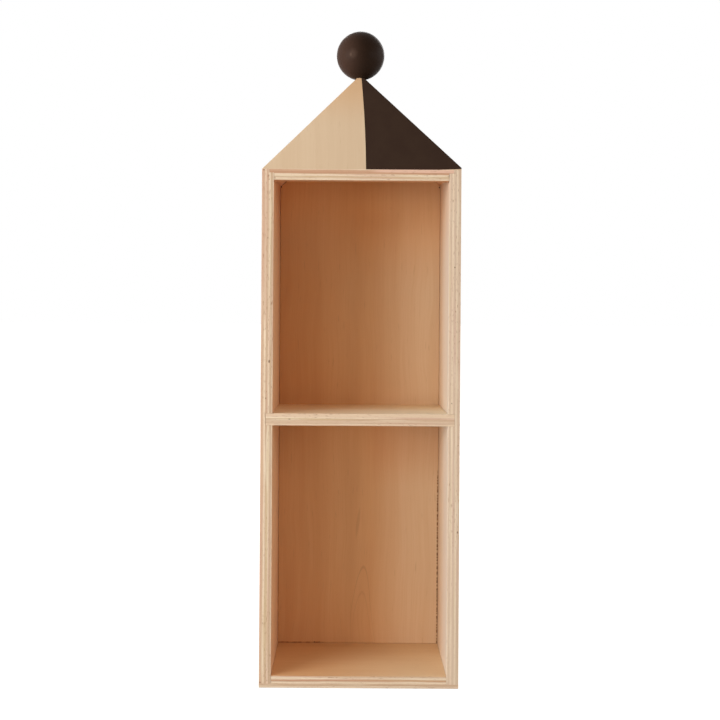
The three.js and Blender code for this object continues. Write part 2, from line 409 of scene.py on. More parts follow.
# %% [markdown]
# A ruler for every board
#
# Plywood looks different on its face and on its edge, and each board lies another way. So a board carries
# its own ruler, a vector stored at every corner of its mesh: how deep the corner lies in the thickness, how
# far along the face grain and how far across it. One plywood finish can then serve every board. A seed,
# which is a number of the board's own, shifts the grain, so that no two boards look alike. A small shift of
# the thickness chooses where the first dark ply comes.

# %% Ruler
SHIFT_ALONG, SHIFT_ACROSS = 1.37, 0.61
SMOOTH_ANGLE = 30

# The seeds of the boards.
BOTTOM, RAIL, SHELF, LEFT, RIGHT, BACK, GABLE, LEFT_ROOF, RIGHT_ROOF = range(1, 10)


def add_ruler(piece, depth, along, across, seed, ply_shift=0.0):
    """Stores the place in the board at each corner: depth in the thickness, along and across the grain."""
    ruler = piece.data.attributes.new("board", "FLOAT_VECTOR", "POINT")
    for index, corner in enumerate(piece.data.vertices):
        spot = corner.co
        ruler.data[index].vector = (
            depth(spot) + ply_shift,
            along(spot) + seed * SHIFT_ALONG,
            across(spot) + seed * SHIFT_ACROSS,
        )


def finish_faces(piece, face_material, edge_material, is_face):
    """Gives the veneered faces one finish and the cut edges another."""
    piece.data.materials.clear()
    piece.data.materials.append(face_material)
    piece.data.materials.append(edge_material)
    for face in piece.data.polygons:
        face.material_index = 0 if is_face(face.normal, face.center) else 1


def add_finish(piece, material, is_face):
    """Gives some of the faces a finish of their own."""
    piece.data.materials.append(material)
    for face in piece.data.polygons:
        if is_face(face.normal, face.center):
            face.material_index = len(piece.data.materials) - 1


def only_finish(piece, material):
    """Gives the whole piece one finish."""
    piece.data.materials.clear()
    piece.data.materials.append(material)


def place(piece, node):
    """Smooths the eased edges, and ties the piece to the frame."""
    only(piece)
    bpy.ops.object.shade_smooth_by_angle(angle=math.radians(SMOOTH_ANGLE))
    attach(piece, "root")
    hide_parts(node)
    size = piece.dimensions
    print(piece.name, "mm:", [round(value / MM, 1) for value in size], "faces:", len(piece.data.polygons))


# %% [markdown]
# Nodes for the finishes
#
# A finish is a small machine of nodes. The calls below add a node or two and hand back the output, so that a
# finish reads from top to bottom like a recipe. Colours are written as they look on a screen, and turned into
# amounts of light here. Most of the figure of wood is layers of noise. A layer has a name, and says how its
# noise is stretched, how fine and how rough it is, between which values of the noise another tone comes in,
# how weak and how strong that tone is, and which tone it is.

# %% Recipe calls
def colour(red, green, blue):
    """A screen colour, each part from 0 to 255, as amounts of light."""
    parts = []
    for part in (red, green, blue):
        part = part / 255
        parts.append(part / 12.92 if part <= 0.04045 else ((part + 0.055) / 1.055) ** 2.4)
    return (*parts, 1.0)


Layer = namedtuple("Layer", "name stretch detail roughness span share tone")
OVAL_CORE = 0.2


class Recipe:
    """A material with a principled shader, and short calls for the nodes that feed it."""

    def __init__(self, name, roughness, specular=0.5):
        self.material = bpy.data.materials.new(name)
        self.material.use_nodes = True
        self.nodes = self.material.node_tree.nodes
        self.links = self.material.node_tree.links
        self.shader = self.nodes["Principled BSDF"]
        self.shader.inputs["Roughness"].default_value = roughness
        self.shader.inputs["Specular IOR Level"].default_value = specular

    def feed(self, socket, value):
        """Links a node's output to a socket, or writes a plain value there."""
        if isinstance(value, bpy.types.NodeSocket):
            self.links.new(value, socket)
        else:
            socket.default_value = value

    def ruler(self):
        """The board's own ruler: depth, along and across."""
        node = self.nodes.new("ShaderNodeAttribute")
        node.attribute_name = "board"
        return node.outputs["Vector"]

    def object_place(self):
        """The place on the object."""
        return self.nodes.new("ShaderNodeTexCoord").outputs["Object"]

    def xyz(self):
        """The three parts of the place on the object."""
        return self.parts(self.object_place())

    def parts(self, vector):
        """The three parts of a vector."""
        node = self.nodes.new("ShaderNodeSeparateXYZ")
        self.feed(node.inputs[0], vector)
        return node.outputs

    def vector(self, x, y, z):
        """A vector of three parts."""
        node = self.nodes.new("ShaderNodeCombineXYZ")
        for socket, value in zip(node.inputs, (x, y, z)):
            self.feed(socket, value)
        return node.outputs[0]

    def math(self, operation, first, second=0.0, third=0.0):
        """A step of arithmetic with up to three values."""
        node = self.nodes.new("ShaderNodeMath")
        node.operation = operation
        for socket, value in zip(node.inputs, (first, second, third)):
            self.feed(socket, value)
        return node.outputs[0]

    def product(self, first, *others):
        """All the values multiplied together."""
        for other in others:
            first = self.math("MULTIPLY", first, other)
        return first

    def apart(self, value, middle):
        """How far a value is from a middle, to either side."""
        return self.math("ABSOLUTE", self.math("SUBTRACT", value, middle))

    def oval(self, ways, across, along, half_width, half_length):
        """1 in the middle of an oval spot and 0 outside it. Ways are the two directions it is measured in."""
        sideways = self.math("MULTIPLY_ADD", ways[0], 1 / half_width, -across / half_width)
        lengthways = self.math("MULTIPLY_ADD", ways[1], 1 / half_length, -along / half_length)
        square = self.math("MULTIPLY_ADD", lengthways, lengthways, self.product(sideways, sideways))
        return self.rise(square, OVAL_CORE, 1.0, 1, 0)

    def noise(self, vector, stretch, detail=2.0, roughness=0.5):
        """A noise of a vector whose three parts are first multiplied by the numbers of the stretch."""
        longer = self.nodes.new("ShaderNodeVectorMath")
        longer.operation = "MULTIPLY"
        self.feed(longer.inputs[0], vector)
        longer.inputs[1].default_value = stretch
        node = self.nodes.new("ShaderNodeTexNoise")
        self.feed(node.inputs["Vector"], longer.outputs[0])
        node.inputs["Scale"].default_value = 1.0
        node.inputs["Detail"].default_value = detail
        node.inputs["Roughness"].default_value = roughness
        return node.outputs["Fac"]

    def rise(self, value, start, end, low=0.0, high=1.0):
        """Turns a value smoothly from low to high while it goes from start to end."""
        node = self.nodes.new("ShaderNodeMapRange")
        node.interpolation_type = "SMOOTHSTEP"
        for socket, number in zip(node.inputs, (value, start, end, low, high)):
            self.feed(socket, number)
        return node.outputs[0]

    def mix(self, factor, first, second, kind="MIX"):
        """The first tone with as much of the second as the factor says, or another blend of the two."""
        node = self.nodes.new("ShaderNodeMix")
        node.data_type = "RGBA"
        node.blend_type = kind
        self.feed(node.inputs["Factor"], factor)
        self.feed(node.inputs[6], first)
        self.feed(node.inputs[7], second)
        return node.outputs[2]

    def drift(self, tone, factors, *edges):
        """Multiplies a tone by three factors inside a patch, which is the product of its soft edges."""
        return self.mix(self.product(*edges), tone, (*factors, 1), "MULTIPLY")

    def lay(self, tone, vector, layers):
        """Lays layers of noise over a tone, and hands back the new tone and the noises by name."""
        noises = {}
        for layer in layers:
            noises[layer.name] = self.noise(vector, layer.stretch, layer.detail, layer.roughness)
            shown = self.rise(noises[layer.name], *layer.span, *layer.share)
            tone = self.mix(shown, tone, layer.tone)
        return tone, noises

    def ramp(self, value, stops):
        """A tone for each value, between stops that each give a position and its tone."""
        node = self.nodes.new("ShaderNodeValToRGB")
        self.feed(node.inputs[0], value)
        elements = node.color_ramp.elements
        while len(elements) < len(stops):
            elements.new(0.5)
        for element, (position, tone) in zip(elements, stops):
            element.position = position
            element.color = tone
        return node.outputs[0]

    def relief(self, height, depth):
        """A height from 0 to 1 as fine relief of so many metres."""
        node = self.nodes.new("ShaderNodeBump")
        node.inputs["Strength"].default_value = 1.0
        node.inputs["Distance"].default_value = depth
        self.feed(node.inputs["Height"], height)
        self.links.new(node.outputs[0], self.shader.inputs["Normal"])

    def paint(self, tone):
        """Ends the recipe with its colour, and hands back the material."""
        self.feed(self.shader.inputs["Base Color"], tone)
        return self.material


# %% [markdown]
# Birch veneer
#
# The faces of the boards are peeled birch, cream with hardly any figure. Long soft bands run with the grain,
# and over them lie fine lines and a few short dark flecks. Each is a noise that is drawn out along the
# grain, the lines over sixtyfold and the flecks only ninefold. The relief is a few hundredths of a
# millimetre under a matte lacquer. Light and shade are painted into the tone of most sheets. So the recipe
# takes a tone of painted shade that the wood reaches near the top, another pair of painted light that it
# drifts to on the right, and two sets of factors between which it drifts from the front edge to the back,
# with painted shade deep in the box.

# %% Veneer
FLECK_TONE = colour(150, 108, 76)
GRAIN_RELIEF = 0.03 * MM
GRAIN_WANDER = 12 * MM

# Where the painted light to the right and the painted shade towards the back start and end.
RIGHT_LIGHT_SPAN = (-80 * MM, 80 * MM)
DEEP_SHADE_SPAN = (-50 * MM, 50 * MM)


def make_veneer(name, light, dark, gloss=(0.55, 0.08), top=None, right=None, deep=None):
    """A veneer of two tones. Gloss is its roughness and its specular level.

    Top is a tone of painted shade, the heights in millimetres from which and at which it is reached, and how
    strongly. Right is the pair of tones of painted light that the wood drifts to on the right. The deep
    factors are those at the front and the back, with painted shade at the back.
    """
    recipe = Recipe(name, roughness=gloss[0], specular=gloss[1])
    if right:
        share = recipe.rise(recipe.xyz()[0], *RIGHT_LIGHT_SPAN)
        light = recipe.mix(share, light, right[0])
        dark = recipe.mix(share, dark, right[1])
    ruler = recipe.ruler()
    wander = recipe.noise(ruler, (4, 9, 9), detail=1)
    depth, along, across = recipe.parts(ruler)
    bent = recipe.math("MULTIPLY_ADD", wander, GRAIN_WANDER, across)
    layers = (
        Layer("bands", (8, 3, 70), 3, 0.55, (0.3, 0.7), (0, 0.45), dark),
        Layer("lines", (60, 14, 900), 3, 0.6, (0.35, 0.8), (0, 0.28), dark),
        Layer("flecks", (60, 75, 700), 1, 0.5, (0.66, 0.8), (0, 0.2), FLECK_TONE),
    )
    tone, noises = recipe.lay(light, recipe.vector(depth, along, bent), layers)
    if top:
        top_shade_tone, start, end, strength = top
        reached = recipe.rise(recipe.xyz()[2], start * MM, end * MM, 0, strength)
        tone = recipe.mix(reached, tone, top_shade_tone)
    if deep:
        front, back = deep
        factors = recipe.mix(recipe.rise(recipe.xyz()[1], *DEEP_SHADE_SPAN), (*front, 1), (*back, 1))
        tone = recipe.mix(1.0, tone, factors, "MULTIPLY")
    recipe.relief(noises["lines"], GRAIN_RELIEF)
    return recipe.paint(tone)


# %% Six sheets of birch
BIRCH_FACE = make_veneer("birch_face", colour(212, 186, 155), colour(203, 174, 142))
# The gable's birch, with painted shade near the tip, under the ball.
BIRCH_GABLE_PAINTED_SHADE = make_veneer(
    "birch_gable_painted_shade",
    colour(212, 186, 155),
    colour(203, 174, 142),
    top=(colour(206, 163, 120), 560, 612, 0.7),
)
# Birch in painted shade: a darker, redder copy for the inner face of the left panel and the undersides of the
# rail and the roof boards, with more painted shade near the top.
BIRCH_PAINTED_SHADE = make_veneer(
    "birch_painted_shade",
    colour(221, 176, 136),
    colour(210, 159, 118),
    gloss=(0.5, 0.12),
    top=(colour(226, 162, 114), 420, 515, 0.6),
)
# Birch in painted light: a paler copy for the inner face of the right panel, with painted shade near the top
# and deep in the box.
BIRCH_RIGHT_PAINTED_LIGHT_AND_SHADE = make_veneer(
    "birch_right_painted_light_and_shade",
    colour(216, 193, 170),
    colour(207, 180, 154),
    gloss=(0.5, 0.12),
    top=(colour(220, 180, 145), 420, 505, 0.7),
    deep=((0.985, 1.085, 1.18), (0.94, 0.87, 0.75)),
)
# A paler copy with painted sheen for the shelf and the rail, with painted light on the right and painted
# shade deep in the box.
BIRCH_SHELF_PAINTED_LIGHT_AND_SHADE = make_veneer(
    "birch_shelf_painted_light_and_shade",
    colour(242, 204, 165),
    colour(234, 191, 150),
    gloss=(0.42, 0.25),
    right=(colour(251, 230, 200), colour(244, 219, 186)),
    deep=((1.02, 1.15, 1.23), (0.98, 0.95, 0.82)),
)
# A warmer copy in painted shade for the floor of the box, with painted light on the right and painted shade
# deep in the box.
BIRCH_FLOOR_PAINTED_LIGHT_AND_SHADE = make_veneer(
    "birch_floor_painted_light_and_shade",
    colour(224, 176, 127),
    colour(215, 162, 112),
    gloss=(0.42, 0.25),
    right=(colour(233, 202, 161), colour(225, 189, 145)),
    deep=((1.02, 1.03, 1.05), (0.96, 0.92, 0.87)),
)
print("made six birch veneers, the first is", BIRCH_FACE.name)

# %% [markdown]
# Plywood edges
#
# Seven plies show on every edge. Their grain crosses, so the long-grain plies look light and the end-grain
# plies look dark. The order is a colour ramp over the thickness. A slow noise lets the plies wander a little,
# and another lets their contrast fade and return, as the saw and the sanding leave it. Fine streaks run along
# the plies, with short dark dashes where the blade tore the end grain. Each ply leans now to pink, now to
# yellow and now to cream, and a few small knots and voids are dark spots. A knot is a place on one board's
# ruler, so all boards can share the finish.

# %% Order of the plies
# Depth in millimetres, and the tone there.
PLY_ORDER = (
    (-2.0, "light"),
    (0.55, "light"),
    (0.75, "line"),
    (0.95, "dark"),
    (2.75, "dark"),
    (3.15, "light"),
    (4.85, "light"),
    (5.05, "line"),
    (5.25, "dark"),
    (6.95, "dark"),
    (7.25, "light"),
    (9.05, "light"),
    (9.25, "line"),
    (9.45, "dark"),
    (11.0, "dark"),
    (11.3, "light"),
    (13.0, "light"),
)
RAMP_START = PLY_ORDER[0][0]
RAMP_SPAN = PLY_ORDER[-1][0] - RAMP_START
PLY_TONES = {
    "light": colour(238, 216, 188),
    "dark": colour(204, 173, 144),
    "line": colour(166, 128, 100),
}
PLY_STOPS = [((at - RAMP_START) / RAMP_SPAN, PLY_TONES[kind]) for at, kind in PLY_ORDER]
print("stops from one face of the plywood to the other:", len(PLY_STOPS))

# %% Knots
KNOT_STRENGTH = 0.75
KNOT_TONE = colour(104, 66, 44)

# The board, then millimetres: depth, place along the board, half width and half length.
KNOTS = (
    (LEFT, 8.4, 327, 1.15, 1.9),
    (LEFT, 6.4, 451, 0.4, 1.1),
    (LEFT, 5.3, 290, 0.6, 1.2),
    (LEFT, 7.0, 513.5, 0.5, 0.9),
    (LEFT, 7.2, 509.5, 0.4, 0.9),
    (LEFT, 1.2, 5.4, 0.8, 1.1),
    (RIGHT, 6.1, 422.3, 0.8, 1.1),
    (RIGHT, 1.8, 156.8, 0.8, 1.4),
    (RIGHT, 8.3, 286, 0.5, 0.9),
    (RIGHT, 1.6, 244, 0.4, 0.5),
    (RAIL, 3.9, 87.6, 1.9, 0.45),
    (RAIL, 7.6, -86.9, 1.3, 0.5),
    (LEFT, 2.0, 518.9, 0.9, 0.9),
    (SHELF, 5.7, -95.9, 0.5, 0.8),
    (SHELF, 5.6, -70.9, 0.5, 1.5),
)
print("knots on the edges:", len(KNOTS))

# %% Tones of single plies
WARM, PINK, PALE = (194, 144, 112), (229, 188, 165), (229, 202, 173)
DULL, COOL, ROSE = (209, 178, 150), (225, 206, 186), (205, 164, 140)

PLY_FADE_ALONG = 20 * MM
PLY_FADE_DEPTH = 0.4 * MM

# The board, then millimetres: the middle and half the length of the place, and the depths between which the
# plies have a tone of their own. Last come how strongly, and the tone.
OWN_PLIES = (
    (BOTTOM, 0, 130, 5.6, 6.7, 0.75, WARM),
    (RAIL, 0, 130, -1.3, 2.7, 0.75, WARM),
    (RAIL, 66, 62, -4.0, 0.9, 0.85, PINK),
    (SHELF, 0, 130, -2.0, 3.0, 0.75, PALE),
    (SHELF, 0, 130, 7.2, 9.2, 0.7, DULL),
    (SHELF, 0, 130, 9.9, 14.0, 0.75, PALE),
    (LEFT, 260, 300, -1.0, 1.7, 0.6, ROSE),
    (LEFT, 480, 90, 0.4, 3.4, 0.5, ROSE),
    (LEFT, 437, 80, 2.8, 5.2, 0.7, DULL),
    (RIGHT, 330, 420, -3.0, 14.0, 0.3, COOL),
)
print("places with a tone of their own:", len(OWN_PLIES))


def own_ply(recipe, moved, along, seed, middle, half, start, end, strength):
    """As strong as asked inside one ply of the board with this seed, and 0 on all other boards."""
    apart = recipe.apart(along, seed * SHIFT_ALONG + middle)
    mine = recipe.rise(apart, half - PLY_FADE_ALONG, half, strength, 0)
    after = recipe.rise(moved, start - PLY_FADE_DEPTH, start + PLY_FADE_DEPTH)
    before = recipe.rise(moved, end - PLY_FADE_DEPTH, end + PLY_FADE_DEPTH, 1, 0)
    return recipe.product(mine, after, before)


# %% Ply edge
SLOW_WANDER = 1.5 * MM
QUICK_WANDER = 0.7 * MM
SAWN_RELIEF = 0.06 * MM
TORN_TONE = colour(158, 112, 84)
PLY_LAYERS = (
    Layer("calm", (170, 14, 14), 2, 0.5, (0.35, 0.65), (0.05, 0.45), colour(219, 192, 163)),
    Layer("streaks", (1500, 24, 24), 3, 0.65, (0.35, 0.75), (0, 0.4), colour(200, 168, 138)),
    Layer("pores", (900, 700, 700), 2, 0.5, (0.55, 0.8), (0, 0.3), colour(182, 146, 116)),
    Layer("pink", (420, 7, 7), 1, 0.5, (0.52, 0.7), (0, 0.6), colour(207, 165, 142)),
    Layer("yellow", (380, 6, 9), 1, 0.5, (0.55, 0.72), (0, 0.5), colour(214, 190, 148)),
    Layer("cream", (640, 17, 17), 2, 0.5, (0.54, 0.72), (0, 0.55), colour(240, 224, 197)),
)


def make_ply_edge(name):
    """The sawn edge of the plywood, for all boards."""
    recipe = Recipe(name, roughness=0.7, specular=0.08)
    ruler = recipe.ruler()
    parts = recipe.parts(ruler)
    slow = recipe.noise(ruler, (0, 11, 11), detail=2, roughness=0.6)
    quick = recipe.noise(ruler, (60, 70, 70), detail=2, roughness=0.6)
    moved = recipe.math("MULTIPLY_ADD", slow, SLOW_WANDER, parts[0])
    moved = recipe.math("MULTIPLY_ADD", quick, QUICK_WANDER, moved)
    moved = recipe.math("SUBTRACT", moved, (SLOW_WANDER + QUICK_WANDER) / 2)
    order = recipe.math("MULTIPLY_ADD", moved, 1 / (RAMP_SPAN * MM), -RAMP_START / RAMP_SPAN)
    tone, noises = recipe.lay(recipe.ramp(order, PLY_STOPS), ruler, PLY_LAYERS)
    for seed, middle, half, start, end, strength, own_tone in OWN_PLIES:
        reach = [number * MM for number in (middle, half, start, end)]
        share = own_ply(recipe, moved, parts[1], seed, *reach, strength)
        tone = recipe.mix(share, tone, colour(*own_tone))
    dashes = recipe.rise(recipe.noise(ruler, (1150, 190, 190), detail=1), 0.6, 0.74)
    torn = recipe.rise(recipe.noise(ruler, (90, 9, 9), detail=1), 0.4, 0.6, 0.15, 0.6)
    tone = recipe.mix(recipe.product(dashes, torn), tone, TORN_TONE)
    for seed, depth, along, half_width, half_length in KNOTS:
        along_ruler = along * MM + seed * SHIFT_ALONG
        dark = recipe.oval(parts, depth * MM, along_ruler, half_width * MM, half_length * MM)
        tone = recipe.mix(recipe.product(dark, KNOT_STRENGTH), tone, KNOT_TONE)
    recipe.relief(noises["streaks"], SAWN_RELIEF)
    return recipe.paint(tone)


PLY_EDGE = make_ply_edge("ply_edge")
print("made", PLY_EDGE.name, "with", len(PLY_LAYERS), "layers")

# %% [markdown]
# Bottom board and rail
#
# The lower plies of the bottom board run out under the side panels, and the rest stands between them. So the
# board starts as a thin slab, is sawn at the two shoulders, and the middle of its top is drawn up. The rail
# under the gable is made the same way upside down. Its upper plies reach a few millimetres into a notch of
# each side panel. Its underside has been planed by nearly a millimetre, and its plies run a little out of
# line with it.

# %% Bottom board
SHOULDER = HALF_INSIDE - GLUE
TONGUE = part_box("side_left")[0].z
BOTTOM_PLY_SHIFT = -1.6 * MM


def make_lapped(name, low, high, slab_low, slab_high, up):
    """A board whose slab reaches the full width, with a thicker middle between the side panels."""
    piece = add_block(name, (low.x, low.y, slab_low), (high.x, high.y, slab_high))
    edit(piece)
    for x in (-SHOULDER, SHOULDER):
        saw((x, 0, 0), (1, 0, 0))
    pick(piece, "FACE", lambda middle, normal: abs(middle.x) < SHOULDER / 2 and normal.z * up > FACING)
    travel = (high.z - slab_high) if up > 0 else (low.z - slab_low)
    bpy.ops.mesh.extrude_region_move(TRANSFORM_OT_translate={"value": (0, 0, travel)})
    leave()
    return piece


bottom = make_lapped("base_board", floor_low, floor_high, floor_low.z, TONGUE, 1)
ease(
    bottom,
    BOARD_EASE,
    lambda middle, way: abs(way.x) > FACING and near(middle.y, FRONT) and not near(middle.z, TONGUE),
)
add_ruler(bottom, lambda p: p.z, lambda p: p.x, lambda p: p.y, seed=BOTTOM, ply_shift=BOTTOM_PLY_SHIFT)
# The floor of the box is birch with painted light and shade, and the underside is plain birch.
finish_faces(bottom, BIRCH_FLOOR_PAINTED_LIGHT_AND_SHADE, PLY_EDGE, lambda normal, middle: abs(normal.z) > FACING)
add_finish(bottom, BIRCH_FACE, lambda normal, middle: normal.z < -FACING)
place(bottom, "bottom_board")

# %% Front rail
RAIL_DRIFT = 0.006
RAIL_SHAVING = 0.9 * MM
RAIL_EASE = 0.45 * MM
RAIL_PLY_SHIFT = -1.9 * MM
rail_foot = rail_low + Vector((0, 0, RAIL_SHAVING))
rail = make_lapped("top_rail", rail_foot, rail_high, rail_high.z - RAIL_TONGUE, rail_high.z, -1)
ease(rail, RAIL_EASE, lambda middle, way: abs(way.x) > FACING and near(middle.z, rail_foot.z))
add_ruler(
    rail,
    lambda p: rail_high.z - p.z - RAIL_DRIFT * p.x,
    lambda p: p.x,
    lambda p: p.y,
    seed=RAIL,
    ply_shift=RAIL_PLY_SHIFT,
)
# The top and the underside first get the shelf's birch with painted light and shade, and the underside then
# gets birch in painted shade.
finish_faces(rail, BIRCH_SHELF_PAINTED_LIGHT_AND_SHADE, PLY_EDGE, lambda normal, middle: abs(normal.z) > FACING)
add_finish(rail, BIRCH_PAINTED_SHADE, lambda normal, middle: normal.z < -FACING)
place(rail, "front_rail")

# %% [markdown]
# Middle shelf
#
# A board with square ends, let into the side panels, so the block needs no other shape. Only its two front
# edges are eased, because the others lie in the dadoes and against the back panel.

# %% Middle shelf
shelf = add_block("shelf_board", shelf_low, shelf_high)
ease(shelf, BOARD_EASE, lambda middle, way: abs(way.x) > FACING and near(middle.y, FRONT))
add_ruler(shelf, lambda p: shelf_high.z - p.z, lambda p: p.x, lambda p: p.y, seed=SHELF)
# Its top and underside carry painted light on the right and painted shade towards the back.
finish_faces(shelf, BIRCH_SHELF_PAINTED_LIGHT_AND_SHADE, PLY_EDGE, lambda normal, middle: abs(normal.z) > FACING)
place(shelf, "middle_shelf")

# %% [markdown]
# Side panels
#
# A side panel stands level under the gable in front, and is mitred to the roof behind it. It is built from
# those two blocks and joined. The notch for the rail, the dado for the shelf, the recess for the keyhole
# plate and the pocket behind the plate are cut out of it. A slot with round ends is a block whose four long
# edges are rounded to half its width.

# %% Slot shape
NEARLY_ROUND = 0.998
ROUND_STEPS = 8


def add_slot(name, middle, across, along, y_from, y_to):
    """An upright bar with round ends, which is a plate or cuts a slot of its shape."""
    reach = Vector((across / 2, 0, along / 2))
    low = Vector((middle.x, y_from, middle.z)) - reach
    high = Vector((middle.x, y_to, middle.z)) + reach
    bar = add_block(name, low, high)
    edit(bar, "EDGE")
    pick(bar, "EDGE", lambda centre, way: abs(way.y) > FACING)
    radius = across / 2 * NEARLY_ROUND
    bpy.ops.mesh.bevel(offset=radius, segments=ROUND_STEPS, profile=0.5, affect="EDGES")
    leave()
    return bar


# %% Side panels
HANGER_FIT = 0.15 * MM
POCKET_SIZE = (8.8 * MM, 24 * MM)
POCKET_DEPTH = 6 * MM
DADO_DEPTH = 7 * MM


def cut_hanger_bed(piece, word):
    """Cuts the recess that a keyhole plate lies in, and the pocket behind the plate."""
    plate_low, plate_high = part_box("hanger_" + word)
    middle = (plate_low + plate_high) / 2
    size = plate_high - plate_low + Vector((1, 1, 1)) * 2 * HANGER_FIT
    bed = plate_low.y - HANGER_FIT
    recess = add_slot("recess", middle, size.x, size.z, bed, REAR + PAST)
    combine(piece, recess, "DIFFERENCE")
    pocket = add_slot("pocket", middle, *POCKET_SIZE, plate_low.y - POCKET_DEPTH, bed + PAST)
    combine(piece, pocket, "DIFFERENCE")


def make_side(word, side, seed):
    """One side panel. Side is -1 for the left and 1 for the right."""
    node = "side_" + word
    low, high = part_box(node)
    mitre = slope_height(side, side * HALF_INSIDE, PLY)
    back_y = rail_high.y
    inner = side * HALF_INSIDE
    outer = side * HALF_WIDTH
    piece = add_block("panel_" + word, (low.x, back_y, low.z), high)
    edit(piece, "VERT")
    pick(piece, "VERT", lambda spot, normal: near(spot.x, inner) and near(spot.z, high.z))
    bpy.ops.transform.translate(value=(0, 0, mitre - high.z))
    leave()
    front = add_block("front_block", low, (high.x, back_y, EAVES))
    combine(piece, front, "UNION")
    left, right = sorted((inner - side * PAST, inner + side * RAIL_LIP))
    notch_low = (left, FRONT - PAST, EAVES - RAIL_TONGUE)
    notch_high = (right, back_y, EAVES + PAST)
    combine(piece, add_block("notch", notch_low, notch_high), "DIFFERENCE")
    left, right = sorted((inner - side * PAST, inner + side * DADO_DEPTH))
    dado_low = (left, FRONT - PAST, shelf_low.z)
    dado_high = (right, back_low.y, shelf_high.z + GLUE)
    combine(piece, add_block("dado", dado_low, dado_high), "DIFFERENCE")
    cut_hanger_bed(piece, word)
    ease(
        piece,
        BOARD_EASE,
        lambda middle, way: abs(way.z) > FACING
        and (near(middle.x, outer) or near(middle.x, inner))
        and (near(middle.y, FRONT) or near(middle.y, REAR)),
    )
    add_ruler(piece, lambda p: abs(outer - p.x), lambda p: p.z, lambda p: p.y, seed)
    # The inner face is birch in painted shade on the left and in painted light on the right.
    inner_face = BIRCH_PAINTED_SHADE if side < 0 else BIRCH_RIGHT_PAINTED_LIGHT_AND_SHADE
    finish_faces(piece, inner_face, PLY_EDGE, lambda normal, middle: abs(normal.x) > FACING)
    add_finish(piece, BIRCH_FACE, lambda normal, middle: normal.x * side > FACING and near(middle.x, outer))
    place(piece, node)


make_side("left", -1, LEFT)
make_side("right", 1, RIGHT)

# %% [markdown]
# Back panel
#
# A thin sheet shaped like a house stands inside the box. Its front arris is rebated, so a dark shadow line
# runs all round it, while the part behind fits closely and lets no light through. Two houses of different
# size are made for that and joined. The veneer has an upright figure: pointed arches near the bottom, as a
# peeled log shows where the knife runs out of a growth ring. An arch is the line where height plus the
# square of the distance from the middle stays the same, and it is only just darker than the wood. Painted
# shade makes the sheet darker and redder on the left and at the top, and painted light makes it paler on the
# right and in the upper left corner. The recess and the seams carry painted shade, with painted light in the
# recess on the right. Its rear face is another veneer, plain like the outside of the box.

# %% Painted shade and light in the seams
# Each pair says where a soft edge starts and where it ends.
RECESS_MOUTH = (back_low.y + 0.2 * MM, back_low.y + 0.7 * MM)
RECESS_END = (back_low.y + 2.5 * MM, back_low.y + 4 * MM)
RIGHT_HALF = (0, 60 * MM)
RIGHT_SEAM = (86.2 * MM, 86.9 * MM)
RIGHT_SEAM_TOP = (188 * MM, 210 * MM)
LOWER_SEAM = (12.7 * MM, 13.7 * MM)
LOWER_SEAM_END = (-44 * MM, -34 * MM)

# Tones of the painted shade in the recess and the seams, and of the painted light in the recess on the right.
SEAM_SHADE_TONE, SEAM_LIGHT_TONE = colour(150, 66, 22), colour(228, 162, 110)
CREASE_SHADE_TONE, SEAM_SPOT_SHADE_TONE = colour(104, 52, 16), colour(82, 40, 18)
SPOT_STRENGTH = 0.8

# Millimetres: place from left to right, height and radius of a spot of painted shade.
SEAM_SHADE_SPOTS = ((-87.2, 514.6, 1.1), (87.2, 515.0, 1.1), (-47.6, 13.0, 0.8), (-42.4, 13.0, 0.6))


def paint_seam_light_and_shade(recipe, tone, spot):
    """Paints shade into the recess round the sheet and light into it on the right, broken lines of shade
    along its right and its lower left edge, and spots of shade.
    """
    x, y, z = recipe.parts(spot)
    recess = recipe.product(recipe.rise(y, *RECESS_MOUTH), recipe.rise(y, *RECESS_END, 0.6, 0))
    tone = recipe.mix(recess, tone, recipe.mix(recipe.rise(x, *RIGHT_HALF), SEAM_SHADE_TONE, SEAM_LIGHT_TONE))
    dots = recipe.rise(recipe.noise(spot, (0, 0, 330), detail=2), 0.42, 0.56, 0.2, 0.85)
    right = recipe.product(recipe.rise(x, *RIGHT_SEAM), dots, recipe.rise(z, *RIGHT_SEAM_TOP, 1, 0))
    tone = recipe.mix(right, tone, CREASE_SHADE_TONE)
    marks = recipe.rise(recipe.noise(spot, (210, 0, 0), detail=2), 0.4, 0.6, 0.25, 0.8)
    lower = recipe.product(recipe.rise(z, *LOWER_SEAM, 1, 0), marks, recipe.rise(x, *LOWER_SEAM_END, 1, 0))
    tone = recipe.mix(lower, tone, SEAM_SHADE_TONE)
    for across, height, radius in SEAM_SHADE_SPOTS:
        dark = recipe.oval((x, z), across * MM, height * MM, radius * MM, radius * MM)
        tone = recipe.mix(recipe.product(dark, SPOT_STRENGTH), tone, SEAM_SPOT_SHADE_TONE)
    return tone


# %% Painted light and shade on the back
# The factors of the painted shade at the top on the right, and the places where it starts and is full.
TOP_SHADE = (1.05, 0.88, 0.715)
TOP_SHADE_FROM_LEFT = (-70 * MM, 20 * MM)
TOP_SHADE_FROM_BELOW = (395 * MM, 500 * MM)
LEAST_TOP_SHADE = 0.15

# The middle of the band of painted shade, from which its width is measured.
SHADE_BAND_MIDDLE = 22 * MM

